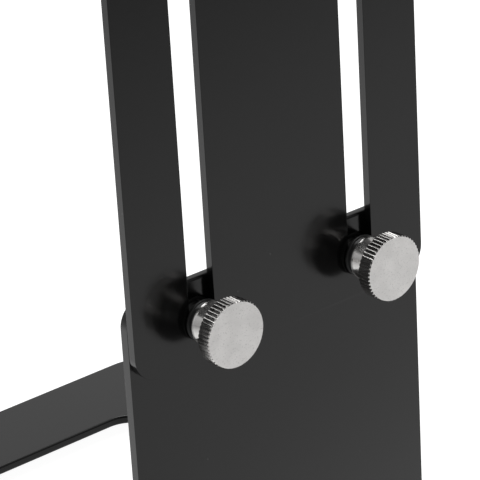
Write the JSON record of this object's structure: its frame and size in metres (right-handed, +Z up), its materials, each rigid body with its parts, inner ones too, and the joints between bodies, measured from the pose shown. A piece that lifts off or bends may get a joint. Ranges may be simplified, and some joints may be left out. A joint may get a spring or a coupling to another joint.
{
  "type": "music stand",
  "caption": "Table-top music stand of bent black sheet steel: window base, slotted height-adjustable upright with knurled thumb screws, and a tilting desk with a ledge.",
  "frame": {"origin": "on the table, under the middle of the whole stand's outer box", "axes": "+Z up, -Y towards the reader (the front of the desk and of the slotted plate), +X to the reader's right"},
  "size_m": [0.36, 0.2546, 0.4855],
  "materials": {
    "black_paint": "semi-gloss black paint",
    "nickel": "nickel plate, satin on the face and bright on the collar",
    "black_plastic": "satin moulded nylon",
    "zinc": "zinc plate",
    "black_steel": "black oxide",
    "rubber": "matt moulded rubber"
  },
  "bodies": {
    "base": {"base_frame": "black_paint", "lower_plate": "black_paint", "clinch_nut_left": "black_steel", "clinch_nut_right": "black_steel", "foot_1": "rubber", "foot_2": "rubber", "foot_3": "rubber", "foot_4": "rubber", "foot_screw_1": "zinc", "foot_screw_2": "zinc", "foot_screw_3": "zinc", "foot_screw_4": "zinc", "flange_screw_1": "black_steel", "flange_screw_2": "black_steel", "flange_screw_3": "black_steel", "flange_screw_4": "black_steel"},
    "left_screw": {"thumb_screw_left": "nickel", "screw_washer_left": "black_plastic"},
    "right_screw": {"thumb_screw_right": "nickel", "screw_washer_right": "black_plastic"},
    "upright": {"upper_plate": "black_paint", "friction_disc_left": "black_plastic", "friction_disc_right": "black_plastic"},
    "desk": {"desk_panel": "black_paint", "ledge_strip": "rubber", "desk_bracket": "black_paint", "tilt_nut_left": "black_steel", "tilt_nut_right": "black_steel", "bracket_stud_1": "zinc", "bracket_stud_2": "zinc", "bracket_stud_3": "zinc", "bracket_stud_4": "zinc", "bracket_nut_1": "zinc", "bracket_nut_2": "zinc", "bracket_nut_3": "zinc", "bracket_nut_4": "zinc"},
    "left_tilt_screw": {"tilt_screw_left": "nickel", "tilt_washer_left": "black_plastic"},
    "right_tilt_screw": {"tilt_screw_right": "nickel", "tilt_washer_right": "black_plastic"}
  },
  "joints": [
    {"name": "height_slide", "type": "slide", "parent": "base", "child": "upright", "axis": [0, 0, 1], "range_m": [-0.105, 0]},
    {"name": "desk_tilt", "type": "hinge", "parent": "upright", "child": "desk", "pos_m": [0, -0.04422, 0.3025], "axis": [1, 0, 0], "range_deg": [-50, 20]},
    {"name": "left_screw_turn", "type": "hinge", "parent": "base", "child": "left_screw", "pos_m": [-0.0275, -0.06222, 0.125], "axis": [0, -1, 0], "range_deg": [0, 360]},
    {"name": "right_screw_turn", "type": "hinge", "parent": "base", "child": "right_screw", "pos_m": [0.0275, -0.06222, 0.125], "axis": [0, -1, 0], "range_deg": [0, 360]},
    {"name": "left_tilt_screw_turn", "type": "hinge", "parent": "desk", "child": "left_tilt_screw", "pos_m": [-0.05, -0.04422, 0.3025], "axis": [-1, 0, 0], "range_deg": [0, 360]},
    {"name": "right_tilt_screw_turn", "type": "hinge", "parent": "desk", "child": "right_tilt_screw", "pos_m": [0.05, -0.04422, 0.3025], "axis": [1, 0, 0], "range_deg": [0, 360]}
  ]
}
